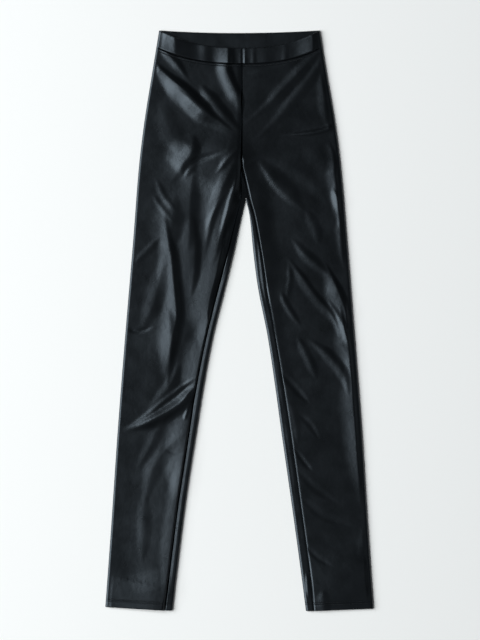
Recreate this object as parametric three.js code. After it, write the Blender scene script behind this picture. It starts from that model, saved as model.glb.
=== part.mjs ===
// Faux leather leggings, laid flat on their back with the front up, legs slightly apart.
// Six sewn pieces: two fronts, two backs and two halves of an elasticated waistband.
// Millimetres. X runs across, the wearer's right leg on the -X side. Y runs up the legs to the
// waist. Z points up, and the underside lies at Z = 0.
import * as THREE from 'three';

// ---- Driving sizes ----

const CLOTH = 1.2; // coated knit
const HEM_CLOTH = 2.2; // the cloth and its turn-up, pressed together
const HEM_DEPTH = 12;
const BAND_CLOTH = 2.4; // cloth on both sides of an elastic
const SEAM_GAP = 0.3; // between two pieces at a seam
const LEG_FOLD = 2.6; // outside radius of the fold along the edge of a leg
const FORK_FOLD = 1.9; // the same fold where the legs part
const BAND_FOLD = 2.95;

const WAIST_TOP = 493.4; // the waistband's top edge at the sides
const WAIST_SEAM = 465; // where the waistband is sewn to the panels, at the sides
const FRONT_DIP_TOP = 30; // how far the middle of the front hangs below the sides
const FRONT_DIP_SEAM = 28;
const BACK_DIP = 4.5;
const FRONT_DIP_POWER = 2.4; // flat in the middle, steep near the sides
const BACK_DIP_POWER = 2;

const CENTRE_FRONT = 5.8; // X of the centre front seam
const CENTRE_BACK = -6.5; // X of the centre back seam at the waist
const CROTCH = { x: 5.8, y: 263 }; // where the four panels meet
const TONGUE_TOP = 256; // where the back's tongue is still wide enough to sew
const FORK = { x: 11, y: 207 }; // the top of the gap between the legs

// Height of the cloth's upper face above the surface.
const LOFT = { hip: 6, leg: 5.4, centreSeam: 5, inseam: 3.9, hem: 5.1, crotch: 3.5, lowest: 3 };

// The edge of each leg from the waist to the hem, and the fold on its inner side from the fork
// down, with the distance from that fold to the inseam, which is rolled round to the front.
const legs = {
  right: {
    sign: -1,
    side: [
      { y: 493, x: -136.2 },
      { y: 423, x: -147.6 },
      { y: 341, x: -160.8 },
      { y: 260, x: -170.6 },
      { y: 137, x: -180.2 },
      { y: -26, x: -193.9 },
      { y: -189, x: -206.7 },
      { y: -352, x: -217.8 },
      { y: -488, x: -227.7 },
    ],
    inner: [
      { y: 207, x: 11, strip: 7 },
      { y: 178, x: 4.5, strip: 8.5 },
      { y: 117, x: -8.9, strip: 11 },
      { y: 56, x: -23.7, strip: 11.5 },
      { y: -26, x: -44.2, strip: 12 },
      { y: -107, x: -59.6, strip: 13 },
      { y: -189, x: -72.7, strip: 13.8 },
      { y: -311, x: -91.4, strip: 13.8 },
      { y: -434, x: -106.9, strip: 12.8 },
      { y: -492, x: -113.6, strip: 12 },
    ],
    hem: { outer: -486.5, inner: -492.6 },
  },
  left: {
    sign: 1,
    side: [
      { y: 493, x: 136.6 },
      { y: 423, x: 147.6 },
      { y: 341, x: 161.6 },
      { y: 260, x: 172.2 },
      { y: 137, x: 182.6 },
      { y: -26, x: 195.4 },
      { y: -189, x: 208 },
      { y: -352, x: 218.2 },
      { y: -488, x: 227.7 },
    ],
    inner: [
      { y: 207, x: 11, strip: 7 },
      { y: 178, x: 17.6, strip: 8 },
      { y: 117, x: 23.9, strip: 11.5 },
      { y: 56, x: 31.9, strip: 12.5 },
      { y: -26, x: 48.1, strip: 12 },
      { y: -107, x: 60.4, strip: 12.5 },
      { y: -189, x: 71.6, strip: 13.8 },
      { y: -311, x: 89, strip: 13.8 },
      { y: -434, x: 105.8, strip: 13 },
      { y: -492, x: 113.2, strip: 12 },
    ],
    hem: { outer: -489.5, inner: -493.4 },
  },
};

// The largest folds. Each has a crest that runs down the garment through a few places, and falls
// away over one width towards -X (rise) and another towards +X (fall).
const folds = [
  // wearer's right: drag lines across the hip
  { crest: [[-130, 464], [-107, 438], [-84, 406]], rise: 13, fall: 10, height: 1.8 },
  { crest: [[-150, 442], [-118, 412], [-66, 365], [-4, 314]], rise: 30, fall: 16, height: 5 },
  { crest: [[-17, 496], [-14, 424], [-1, 388], [8, 346]], rise: 24, fall: 8, height: 3.2 },
  // wearer's right: the crotch fan and the front of the thigh
  { crest: [[8, 318], [-4, 232], [-19, 168], [-46, 92]], rise: 70, fall: 12, height: 4.2 },
  { crest: [[-58, 336], [-77, 274], [-83, 210], [-88, 130]], rise: 74, fall: 22, height: 5.6 },
  { crest: [[-20, 196], [-44, 80], [-61, -14], [-58, -60]], rise: 28, fall: 12, height: 3.3 },
  { crest: [[-128, 190], [-115, 112], [-106, 10], [-120, -76]], rise: 32, fall: 18, height: 3.8 },
  { crest: [[-124, 120], [-143, 38], [-168, -16]], rise: 22, fall: 18, height: 1.3 },
  { crest: [[-122, 24], [-118, -32], [-126, -92]], rise: 66, fall: 16, height: 2.1 },
  // wearer's right: knee and shin
  { crest: [[-50, 24], [-65, -56], [-75, -100], [-92, -150]], rise: 24, fall: 7, height: 2.8 },
  { crest: [[-86, -56], [-100, -98], [-106, -142]], rise: 12, fall: 7, height: 1.9 },
  { crest: [[-70, -108], [-100, -140], [-132, -160], [-200, -186]], rise: 15, fall: 18, height: 4.4 },
  { crest: [[-93, -130], [-99, -222], [-108, -312]], rise: 34, fall: 8, height: 2.5 },
  { crest: [[-92, -120], [-111, -340], [-128, -520]], rise: 80, fall: 8, height: 2.6 },
  { crest: [[-96, -192], [-140, -240], [-162, -316]], rise: 20, fall: 14, height: 1.3 },
  { crest: [[-94, -190], [-112, -336], [-134, -540]], rise: 32, fall: 8, height: 2.6 },
  { crest: [[-138, -410], [-165, -474], [-190, -540]], rise: 56, fall: 30, height: 3.6 },
  // wearer's left: drag lines across the hip
  { crest: [[146, 468], [102, 420], [66, 383], [16, 340]], rise: 12, fall: 9, height: 1.8 },
  { crest: [[152, 452], [112, 404], [66, 358], [26, 324]], rise: 10, fall: 9, height: 1.3 },
  { crest: [[186, 348], [154, 328], [120, 319], [70, 315]], rise: 8, fall: 10, height: 3 },
  // wearer's left: the thigh
  { crest: [[2, 300], [22, 200], [39, 108], [51, 20]], rise: 6, fall: 34, height: 2.4 },
  { crest: [[28, 280], [50, 250], [86, 210]], rise: 13, fall: 16, height: 0.9 },
  { crest: [[146, 308], [165, 244], [172, 196], [176, 160]], rise: 30, fall: 8, height: 3.4 },
  { crest: [[154, 226], [171, 196], [185, 122]], rise: 16, fall: 8, height: 3 },
  { crest: [[88, 142], [112, 113], [156, 74]], rise: 13, fall: 12, height: 1.3 },
  { crest: [[76, 116], [112, 67], [149, 20], [176, -40]], rise: 16, fall: 14, height: 2.3 },
  { crest: [[138, 100], [165, 42], [181, -8], [184, -50]], rise: 20, fall: 8, height: 3 },
  { crest: [[70, 50], [83, 22], [106, -12]], rise: 9, fall: 8, height: 1.3 },
  // wearer's left: knee and shin
  { crest: [[50, 64], [64, -40], [90, -176]], rise: 6, fall: 26, height: 1.5 },
  { crest: [[112, -28], [140, -52], [180, -130]], rise: 14, fall: 9, height: 1.8 },
  { crest: [[166, 30], [187, -56], [194, -130]], rise: 19, fall: 8, height: 2.6 },
  { crest: [[176, -40], [194, -128], [210, -248], [216, -350]], rise: 34, fall: 8, height: 3.2 },
  { crest: [[252, -420], [165, -462], [110, -500]], rise: 90, fall: 44, height: 2.6 },
];

const FOLD_TAPER = 0.36; // share of its length over which a fold fades at each end
const FOLD_TIP_WIDTH = 0.35; // its width at the very tip, as a share of its width

// Soft waves along the front of the waistband, where the elastic draws it in.
const bandWaves = [
  { x: -102, rise: 30, fall: 24, height: 3.6 },
  { x: -63, rise: 8, fall: 14, height: 0.4 },
  { x: -12, rise: 30, fall: 10, height: 3 },
  { x: 48, rise: 18, fall: 14, height: 0.9 },
  { x: 126, rise: 36, fall: 14, height: 2.6 },
];

// Steps of the meshes: rows down the garment, columns across it. The fronts and backs have the
// same rows down the thigh, where the inseam bends most.
const THIGH_END = 20;
const FRONT_ROWS = { hip: 13, crotch: 4, thigh: 10, leg: 28 };
const BACK_ROWS = { hip: 6, crotch: 4, thigh: 10, leg: 15 };
const FRONT_COLUMNS = 22;
const BAND_COLUMNS = 15;
const BAND_ROWS = 4;
const ROLL_STEPS = 3;
const FLAT_STEPS = 5;
const STRIP_STEPS = 2;
const INNER_FOLD_STEPS = 5;

// ---- Small sums ----

const mix = THREE.MathUtils.lerp;
const halfGap = SEAM_GAP / 2;

// 0 below zero, 1 above one and a soft S between.
function ease(t) {
  return THREE.MathUtils.smoothstep(t, 0, 1);
}

// A smooth value from a table whose rows go down in y.
function between(rows, key, y) {
  const last = rows.length - 2;
  let i = 0;
  while (i < last && y < rows[i + 1].y) i += 1;
  const slope = (a, b) => (rows[b][key] - rows[a][key]) / (rows[b].y - rows[a].y);
  const first = slope(Math.max(i - 1, 0), i + 1);
  const second = slope(i, Math.min(i + 2, last + 1));
  const run = rows[i + 1].y - rows[i].y;
  const t = THREE.MathUtils.clamp((y - rows[i].y) / run, 0, 1);
  const start = (2 * t ** 3 - 3 * t ** 2 + 1) * rows[i][key] + (t ** 3 - 2 * t ** 2 + t) * run * first;
  const end = (3 * t ** 2 - 2 * t ** 3) * rows[i + 1][key] + (t ** 3 - t ** 2) * run * second;
  return start + end;
}

// ---- Where the edges and seams lie ----

const sideX = (leg, y) => between(leg.side, 'x', y);
const innerX = (leg, y) => between(leg.inner, 'x', y) + leg.sign * halfGap;

// The centre back seam: over the fork on the upper side, and up to the waist underneath.
function upperBackSeamX(y) {
  return mix(FORK.x, CROTCH.x, (y - FORK.y) / (CROTCH.y - FORK.y));
}
function lowerBackSeamX(y) {
  return mix(FORK.x, CENTRE_BACK, ease((y - FORK.y) / (WAIST_SEAM - FORK.y)));
}

// The inseam: from the crotch down the leg, a strip's width outside the inner fold.
function inseamX(leg, y) {
  const fork = between(leg.inner, 'x', FORK.y) + leg.sign * leg.inner[0].strip;
  if (y > FORK.y) return mix(fork, CROTCH.x, (y - FORK.y) / (CROTCH.y - FORK.y));
  return between(leg.inner, 'x', y) + leg.sign * between(leg.inner, 'strip', y);
}

// The front panel's free edge on its inner side: the centre front seam, then the inseam.
function frontInnerX(leg, y) {
  return (y > CROTCH.y ? CENTRE_FRONT : inseamX(leg, y)) + leg.sign * halfGap;
}

const innerFoldRadius = (y) => mix(LEG_FOLD, FORK_FOLD, ease((y - 100) / (FORK.y - 100)));
const clothAt = (y, hemY) => (y < hemY + HEM_DEPTH + 0.5 ? HEM_CLOTH : CLOTH);

// The inseam lies low along the leg and rises over the doubled cloth of the hem.
function inseamHeight(leg, y) {
  return mix(LOFT.hem, LOFT.inseam, ease((y - leg.hem.inner - HEM_DEPTH - 4) / 30));
}

// Heights of the rows at the side fold, from the waist seam to the hem, with rows at the crotch
// and at the fork.
function rowHeights(steps, hem) {
  const hemStart = hem + HEM_DEPTH + 3;
  const marks = [WAIST_SEAM - SEAM_GAP, CROTCH.y, FORK.y, THIGH_END, hemStart];
  const counts = [steps.hip, steps.crotch, steps.thigh, steps.leg];
  const rows = [];
  counts.forEach((count, part) => {
    for (let i = 0; i < count; i += 1) rows.push(mix(marks[part], marks[part + 1], i / count));
  });
  return [...rows, hemStart, hem + HEM_DEPTH, hem];
}

// A row bends down in the middle of the waist and slants along the hem.
function rowY(leg, level, across, dip, power) {
  const waist = ease((level - CROTCH.y) / (WAIST_SEAM - CROTCH.y));
  const hem = ease((-300 - level) / 170);
  const slant = (leg.hem.inner - leg.hem.outer) * across;
  return level - dip * (1 - (1 - across) ** power) * waist + slant * hem;
}

// ---- The form of the upper face ----

folds.forEach((fold) => {
  const curve = new THREE.SplineCurve(fold.crest.map(([x, y]) => new THREE.Vector2(x, y)));
  fold.line = curve.getPoints(14);
});

// Height that one fold adds at a place. A fold fades in and out at its ends, and narrows there.
function foldHeight({ line, rise, fall, height }, x, y) {
  let nearest = { distance: Infinity, side: 0, along: 0 };
  for (let i = 0; i < line.length - 1; i += 1) {
    const runX = line[i + 1].x - line[i].x;
    const runY = line[i + 1].y - line[i].y;
    const toX = x - line[i].x;
    const toY = y - line[i].y;
    const t = THREE.MathUtils.clamp((toX * runX + toY * runY) / (runX ** 2 + runY ** 2), 0, 1);
    const distance = Math.hypot(toX - t * runX, toY - t * runY);
    const side = runX * toY - runY * toX;
    if (distance < nearest.distance) nearest = { distance, side, along: (i + t) / (line.length - 1) };
  }
  const ends = ease(nearest.along / FOLD_TAPER) * ease((1 - nearest.along) / FOLD_TAPER);
  const width = (nearest.side < 0 ? rise : fall) * mix(FOLD_TIP_WIDTH, 1, ends);
  return height * ends * ease(1 - nearest.distance / width);
}

// Height of the front panel's upper face, between its outer roll and its inner edge.
function frontHeight(leg, x, y) {
  const fromSide = Math.abs(x - sideX(leg, y)) - LEG_FOLD;
  const fromSeam = Math.abs(x - frontInnerX(leg, y));
  const middle = mix(LOFT.leg, LOFT.hip, ease((y - 100) / 200));
  const seam = mix(inseamHeight(leg, y), LOFT.centreSeam, ease((y - FORK.y) / (CROTCH.y + 20 - FORK.y)));
  const open = ease(fromSide / 10) * ease(fromSeam / 8);
  const hemFade = mix(0.25, 1, ease((y - leg.hem.inner - HEM_DEPTH) / 30));
  const raised = folds.reduce((sum, fold) => sum + foldHeight(fold, x, y), 0);
  const edge = fromSide < fromSeam ? 2 * LEG_FOLD : seam;
  return Math.max(LOFT.lowest, mix(edge, middle, open) + raised * open * hemFade);
}

// ---- Building a wall of cloth ----

const direction = (x, y, z) => new THREE.Vector3(x, y, z);

// A point on the outside of a roll: angle 0 points outwards and 90 up.
function rollPoint(edgeX, y, sign, radius, degrees) {
  const angle = THREE.MathUtils.degToRad(degrees);
  const out = direction(sign * Math.cos(angle), 0, Math.sin(angle));
  const x = edgeX - sign * radius * (1 - Math.cos(angle));
  return { place: direction(x, y, radius + radius * Math.sin(angle)), out };
}

// The point of a panel that lies at the side seam, half a gap above or below the roll's middle.
function sideSeamPoint(edgeX, y, sign, halfGapUp) {
  return { place: direction(edgeX, y, LEG_FOLD + halfGapUp), out: direction(sign, 0, 0) };
}

// Closes a sheet: its outer points, the same points moved in by the cloth, and a rim between
// them along each free edge.
function clothSolid(points, quads) {
  const outer = points.map((p) => p.place);
  const inner = points.map((p) => p.place.clone().addScaledVector(p.out, -p.cloth));
  const shift = points.length;
  const faces = [];
  const free = new Map();
  for (const [a, b, c, d] of quads) {
    faces.push(a, b, c, a, c, d);
    faces.push(a + shift, c + shift, b + shift, a + shift, d + shift, c + shift);
    for (const [from, to] of [[a, b], [b, c], [c, d], [d, a]]) {
      if (!free.delete(`${to},${from}`)) free.set(`${from},${to}`, [from, to]);
    }
  }
  for (const [from, to] of free.values()) {
    faces.push(to, from, from + shift, to, from + shift, to + shift);
  }
  const geometry = new THREE.BufferGeometry().setFromPoints([...outer, ...inner]);
  geometry.setIndex(faces);
  return geometry;
}

// Quads of a grid of point numbers; the rows go down the garment. A missing corner leaves a gap.
function gridQuads(rows, turned) {
  const quads = [];
  for (let r = 0; r < rows.length - 1; r += 1) {
    for (let c = 0; c < rows[r].length - 1; c += 1) {
      const corners = [rows[r][c], rows[r + 1][c], rows[r + 1][c + 1], rows[r][c + 1]];
      if (corners.every((n) => n !== undefined)) quads.push(turned ? corners.reverse() : corners);
    }
  }
  return quads;
}

// ---- Front panels ----

// From the side seam on the outer fold, up round the roll and across to the inner edge.
function frontPanel(leg) {
  const points = [];
  const across = (x, y) => (x - sideX(leg, y)) / (frontInnerX(leg, y) - sideX(leg, y));
  const grid = rowHeights(FRONT_ROWS, leg.hem.outer).map((level) => {
    const row = [];
    const add = (p) => row.push(points.push({ ...p, cloth: clothAt(level, leg.hem.outer) }) - 1);
    add(sideSeamPoint(sideX(leg, level), level, leg.sign, halfGap));
    for (let i = 1; i < ROLL_STEPS; i += 1) {
      const p = rollPoint(sideX(leg, level), level, leg.sign, LEG_FOLD, (90 * i) / ROLL_STEPS);
      p.place.y = rowY(leg, level, across(p.place.x, level), FRONT_DIP_SEAM, FRONT_DIP_POWER);
      add(p);
    }
    for (let i = 0; i <= FRONT_COLUMNS; i += 1) {
      const start = LEG_FOLD / Math.abs(frontInnerX(leg, level) - sideX(leg, level));
      const share = mix(start, 1, i / FRONT_COLUMNS);
      const y = rowY(leg, level, share, FRONT_DIP_SEAM, FRONT_DIP_POWER);
      const x = mix(sideX(leg, y), frontInnerX(leg, y), share);
      const slopeX = (frontHeight(leg, x + 1, y) - frontHeight(leg, x - 1, y)) / 2;
      const slopeY = (frontHeight(leg, x, y + 1) - frontHeight(leg, x, y - 1)) / 2;
      const inside = i > 0 && i < FRONT_COLUMNS;
      const out = inside ? direction(-slopeX, -slopeY, 1).normalize() : direction(0, 0, 1);
      add({ place: direction(x, y, frontHeight(leg, x, y)), out });
    }
    return row;
  });
  return clothSolid(points, gridQuads(grid, leg.sign > 0));
}

// ---- Back panels ----

// From the side seam down round the outer fold, flat across the underside, round the inner fold
// and back on top as a narrow strip to the inseam. Above the fork the underside ends at the
// centre back seam, and the strip goes on as a tongue up to the crotch.
function backPanel(leg) {
  const points = [];
  const grid = rowHeights(BACK_ROWS, leg.hem.outer).map((level) => {
    const row = [];
    const cloth = clothAt(level, leg.hem.outer);
    const add = (p) => row.push(points.push({ ...p, cloth }) - 1);
    const onLeg = level <= FORK.y;
    const seamX = (y) => lowerBackSeamX(y) + leg.sign * halfGap;
    const radius = innerFoldRadius(level);
    const underEnd = (y) => (onLeg ? innerX(leg, y) + leg.sign * radius : seamX(y));
    add(sideSeamPoint(sideX(leg, level), level, leg.sign, -halfGap));
    for (let i = 1; i < ROLL_STEPS; i += 1) {
      add(rollPoint(sideX(leg, level), level, leg.sign, LEG_FOLD, (-90 * i) / ROLL_STEPS));
    }
    for (let i = 0; i <= FLAT_STEPS; i += 1) {
      const whole = Math.abs(underEnd(level) - sideX(leg, level));
      const share = mix(LEG_FOLD / whole, 1, i / FLAT_STEPS);
      const y = rowY(leg, level, share, BACK_DIP, BACK_DIP_POWER);
      const x = mix(sideX(leg, y), underEnd(y), share);
      add({ place: direction(x, y, 0), out: direction(0, 0, -1) });
    }
    const y = rowY(leg, level, 1, BACK_DIP, BACK_DIP_POWER);
    for (let i = 1; i < INNER_FOLD_STEPS; i += 1) {
      const angle = mix(-90, 90, i / INNER_FOLD_STEPS);
      if (onLeg) add(rollPoint(innerX(leg, y), y, -leg.sign, radius, angle));
      else row.push(undefined);
    }
    for (let i = 0; i <= STRIP_STEPS; i += 1) {
      const share = i / STRIP_STEPS;
      const upperY = Math.min(y, TONGUE_TOP);
      const upper = upperBackSeamX(upperY) + leg.sign * halfGap;
      const from = onLeg ? innerX(leg, y) + leg.sign * radius : upper;
      const to = inseamX(leg, upperY) - leg.sign * halfGap;
      const height = onLeg ? mix(2 * radius, inseamHeight(leg, y), share ** 2) : LOFT.crotch;
      const place = direction(mix(from, to, share), upperY, height);
      if (level <= CROTCH.y) add({ place, out: direction(0, 0, 1) });
      else row.push(undefined);
    }
    return row;
  });
  return clothSolid(points, gridQuads(grid, leg.sign < 0));
}

// ---- Waistband ----

// Height of the band's upper face: flat on the layers under it, with soft waves.
function bandHeight(x) {
  const wave = ({ x: crest, rise, fall, height }) => {
    const away = x - crest;
    return height * ease(1 - Math.abs(away) / (away < 0 ? rise : fall));
  };
  return 2 * BAND_FOLD + bandWaves.reduce((sum, each) => sum + wave(each), 0);
}

// One half of the ring: from the centre front seam across to the side, round the fold and back
// underneath to the centre back seam.
function waistband(leg) {
  const points = [];
  const grid = [];
  for (let r = 0; r <= BAND_ROWS; r += 1) {
    const down = r / BAND_ROWS;
    const level = mix(WAIST_TOP, WAIST_SEAM, down);
    const edge = sideX(leg, level);
    const dip = mix(FRONT_DIP_TOP, FRONT_DIP_SEAM, down);
    const row = [];
    const add = (p) => row.push(points.push({ ...p, cloth: BAND_CLOTH }) - 1);
    const frontSeam = CENTRE_FRONT + leg.sign * halfGap;
    const backSeam = CENTRE_BACK + leg.sign * halfGap;
    for (let i = 0; i <= BAND_COLUMNS; i += 1) {
      const share = mix(1, BAND_FOLD / Math.abs(frontSeam - edge), i / BAND_COLUMNS);
      const x = mix(edge, frontSeam, share);
      const rest = ease((1 - i / BAND_COLUMNS) * 8);
      const z = mix(2 * BAND_FOLD, bandHeight(x), rest);
      const y = level - dip * (1 - (1 - share) ** FRONT_DIP_POWER);
      add({ place: direction(x, y, z), out: direction(0, 0, 1) });
    }
    for (let i = 1; i < 2 * ROLL_STEPS; i += 1) {
      const p = rollPoint(edge, level, leg.sign, BAND_FOLD, mix(90, -90, i / (2 * ROLL_STEPS)));
      const share = Math.abs((p.place.x - edge) / (frontSeam - edge));
      const front = i < ROLL_STEPS;
      const power = front ? FRONT_DIP_POWER : BACK_DIP_POWER;
      p.place.y -= (front ? dip : BACK_DIP) * (1 - (1 - share) ** power);
      add(p);
    }
    for (let i = 0; i <= BAND_COLUMNS / 2; i += 1) {
      const share = mix(BAND_FOLD / Math.abs(backSeam - edge), 1, i / Math.floor(BAND_COLUMNS / 2));
      const y = level - BACK_DIP * (1 - (1 - share) ** BACK_DIP_POWER);
      add({ place: direction(mix(edge, backSeam, share), y, 0), out: direction(0, 0, -1) });
    }
    grid.push(row);
  }
  return clothSolid(points, gridQuads(grid, leg.sign < 0));
}

// ---- The garment ----

const leather = { color: 0x15191b, roughness: 0.4, metalness: 0 };
const leggings = new THREE.Group();

function addPiece(name, geometry) {
  geometry.computeVertexNormals();
  const piece = new THREE.Mesh(geometry, new THREE.MeshStandardMaterial(leather));
  piece.name = name;
  leggings.add(piece);
}

for (const [side, leg] of Object.entries(legs)) {
  addPiece(`front_${side}`, frontPanel(leg));
  addPiece(`back_${side}`, backPanel(leg));
  addPiece(`waistband_${side}`, waistband(leg));
}

export default leggings;
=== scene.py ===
"""Faux leather leggings, laid flat on their back on a pale floor and seen from straight above."""
import math
import bpy
import numpy as np
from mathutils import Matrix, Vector


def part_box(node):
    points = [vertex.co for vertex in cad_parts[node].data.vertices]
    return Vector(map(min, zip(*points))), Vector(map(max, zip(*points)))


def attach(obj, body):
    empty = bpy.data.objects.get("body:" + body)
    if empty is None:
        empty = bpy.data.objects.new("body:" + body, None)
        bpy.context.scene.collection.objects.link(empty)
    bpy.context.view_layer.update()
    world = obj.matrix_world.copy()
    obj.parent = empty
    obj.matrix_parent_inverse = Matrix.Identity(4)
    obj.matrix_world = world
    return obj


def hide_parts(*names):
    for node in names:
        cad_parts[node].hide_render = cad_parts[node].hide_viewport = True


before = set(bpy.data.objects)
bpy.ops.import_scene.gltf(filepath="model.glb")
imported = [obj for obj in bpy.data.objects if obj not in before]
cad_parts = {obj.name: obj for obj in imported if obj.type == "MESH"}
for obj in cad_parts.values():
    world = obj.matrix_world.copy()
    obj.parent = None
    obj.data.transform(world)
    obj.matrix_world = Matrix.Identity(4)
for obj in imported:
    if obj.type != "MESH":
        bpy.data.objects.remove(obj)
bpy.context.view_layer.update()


# ---- Studio ----
# A long lens looks straight down on the garment, which lies on a matt white board. One large
# softbox stands on the wearer's right, with weak lights round it, so that only the flanks of
# folds that face -X shine.

# The wearer's right leg is on the -X side, +Y runs up to the waist and +Z up off the floor. The
# garment's sizes are in millimetres, as a pattern cutter writes them, and MM turns them to
# metres. The studio's own are in metres.
MM = 0.001

LENS_HEIGHT = 8.0
VIEW_LENGTH = 1.088
VIEW_MIDDLE = 1.3 * MM
SENSOR = 36

lens_camera = bpy.data.cameras.new("overhead_camera")
lens_camera.sensor_width = SENSOR
lens_camera.lens = SENSOR * LENS_HEIGHT / VIEW_LENGTH
overhead = bpy.data.objects.new("overhead_camera", lens_camera)
overhead.location = (VIEW_MIDDLE, VIEW_MIDDLE, LENS_HEIGHT)
bpy.context.collection.objects.link(overhead)
bpy.context.scene.camera = overhead
bpy.context.scene.view_settings.view_transform = "Standard"


def linear(hex_colour):
    """sRGB hex to linear RGBA."""
    channels = [int(hex_colour[i:i + 2], 16) / 255 for i in (1, 3, 5)]
    return [c / 12.92 if c <= 0.04045 else ((c + 0.055) / 1.055) ** 2.4 for c in channels] + [1.0]


BOARD_HALF = 4
BOARD_BELOW = 0.4 * MM

board_mesh = bpy.data.meshes.new("white_board")
board_mesh.from_pydata(
    [(-BOARD_HALF, -BOARD_HALF, 0), (BOARD_HALF, -BOARD_HALF, 0),
     (BOARD_HALF, BOARD_HALF, 0), (-BOARD_HALF, BOARD_HALF, 0)], [], [(0, 1, 2, 3)])
board = bpy.data.objects.new("white_board", board_mesh)
board.location.z = -BOARD_BELOW
bpy.context.collection.objects.link(board)
board_paint = bpy.data.materials.new("matt_white_board_paint")
board_paint.use_nodes = True
paint = board_paint.node_tree.nodes["Principled BSDF"]
paint.inputs["Base Color"].default_value = linear("#fbf9f6")
paint.inputs["Roughness"].default_value = 0.9
paint.inputs["Specular IOR Level"].default_value = 0.1
board_mesh.materials.append(board_paint)


def softbox(name, place, size, watts):
    """A rectangular area light, a little cool, that faces the middle of the garment."""
    lamp = bpy.data.lights.new(name, "AREA")
    lamp.shape = "RECTANGLE"
    lamp.size, lamp.size_y = size
    lamp.energy = watts
    lamp.color = (0.95, 1.0, 1.03)
    stand = bpy.data.objects.new(name, lamp)
    stand.location = place
    stand.rotation_euler = (-Vector(place)).to_track_quat("-Z", "Y").to_euler()
    bpy.context.collection.objects.link(stand)


softbox("key_softbox", place=(-4.7, 0.3, 4.4), size=(5.4, 6.6), watts=700)
softbox("fill_softbox", place=(4.4, 0.2, 2.4), size=(1.2, 4.4), watts=5)
softbox("overhead_foot_panel", place=(1.4, -1.8, 6.0), size=(3.6, 3.0), watts=4.4)
studio = bpy.data.worlds.new("dim_studio")
studio.use_nodes = True
studio.node_tree.nodes["Background"].inputs["Color"].default_value = linear("#8f9496")
studio.node_tree.nodes["Background"].inputs["Strength"].default_value = 0.12
bpy.context.scene.world = studio


# ---- Faux leather ----
# Knitted polyester under a thin polyurethane skin, pressed with a very fine leather grain. It is
# near black and softly glossy: it stays dark face on and shines on the flank of each fold.

def add_node(tree, kind, settings=None, links=None):
    """Adds a node, sets its properties and input values, and links its inputs by name or number."""
    node = tree.nodes.new(kind)
    for key, value in (settings or {}).items():
        if isinstance(key, int) or key in node.inputs:
            node.inputs[key].default_value = value
        else:
            setattr(node, key, value)
    for key, socket in (links or {}).items():
        tree.links.new(socket, node.inputs[key])
    return node


# A Mix node's colour sockets share their names with its other sockets, so they go by number.
MIX_SHARE, MIX_FIRST, MIX_SECOND, MIX_COLOUR = 0, 6, 7, 2

faux_leather = bpy.data.materials.new("polyurethane_faux_leather")
faux_leather.use_nodes = True
leather_tree = faux_leather.node_tree
skin = leather_tree.nodes["Principled BSDF"]
skin.inputs["IOR"].default_value = 1.5
skin.inputs["Specular Tint"].default_value = linear("#e2f2ff")
on_cloth = add_node(leather_tree, "ShaderNodeTexCoord").outputs["Object"]
# The coat is a little duller where the knit shows through, in soft patches 30 mm across.
patches = add_node(leather_tree, "ShaderNodeTexNoise", {"Scale": 1 / (30 * MM), "Detail": 2.0},
                   {"Vector": on_cloth})
dull = add_node(leather_tree, "ShaderNodeMapRange",
                {"From Min": 0.3, "From Max": 0.7, "To Min": 0.27, "To Max": 0.33},
                {"Value": patches.outputs["Fac"]})
leather_tree.links.new(dull.outputs["Result"], skin.inputs["Roughness"])
shade = add_node(leather_tree, "ShaderNodeMix",
                 {"data_type": "RGBA", MIX_FIRST: linear("#060708"), MIX_SECOND: linear("#090a0c")},
                 {MIX_SHARE: patches.outputs["Fac"]})
leather_tree.links.new(shade.outputs[MIX_COLOUR], skin.inputs["Base Color"])
# The coat carries the fine crumple of the cloth under it, 9 mm across, and a ripple of 2.6 mm. Its
# grain is drawn in cells 0.8 mm across, coarser than such a coat has, so that it shows.
crumple = add_node(leather_tree, "ShaderNodeTexNoise",
                   {"Scale": 1 / (9 * MM), "Detail": 3.0, "Roughness": 0.45}, {"Vector": on_cloth})
crumple_bump = add_node(leather_tree, "ShaderNodeBump", {"Strength": 0.5, "Distance": 0.35 * MM},
                        {"Height": crumple.outputs["Fac"]})
ripple = add_node(leather_tree, "ShaderNodeTexNoise",
                  {"Scale": 1 / (2.6 * MM), "Detail": 2.0, "Roughness": 0.5}, {"Vector": on_cloth})
ripple_bump = add_node(leather_tree, "ShaderNodeBump", {"Strength": 0.5, "Distance": 0.09 * MM},
                       {"Height": ripple.outputs["Fac"], "Normal": crumple_bump.outputs["Normal"]})
grain = add_node(leather_tree, "ShaderNodeTexVoronoi",
                 {"Scale": 1 / (0.8 * MM), "feature": "SMOOTH_F1"}, {"Vector": on_cloth})
grain_bump = add_node(leather_tree, "ShaderNodeBump", {"Strength": 0.25, "Distance": 0.05 * MM},
                      {"Height": grain.outputs["Distance"], "Normal": ripple_bump.outputs["Normal"]})
leather_tree.links.new(grain_bump.outputs["Normal"], skin.inputs["Normal"])


# ---- Front panels ----
# Cut in one piece each from the waist seam to the hem. The cloth rolls up from the side seam on
# the outer fold, lies over the back, and tucks into the centre front seam and the inseam.

# The cut. Each leg narrows evenly from hip to hem. The side seam lies on the outer fold, and the
# inseam is rolled 7 to 16 mm round to the front, so that the back shows beside the inner fold.
# The waist seam dips at the centre. The fork is where the inner folds meet, below the crotch.
BAND_DEPTH = 28.4
WAIST_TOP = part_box("waistband_left")[1].y / MM
WAIST_SEAM = WAIST_TOP - BAND_DEPTH
FRONT_DIP, FRONT_DIP_POWER = 28, 2.4
CENTRE_FRONT = 5.8
CROTCH_X, CROTCH_Y = 5.8, 263
FORK_X, FORK_Y = 11, 207

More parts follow.
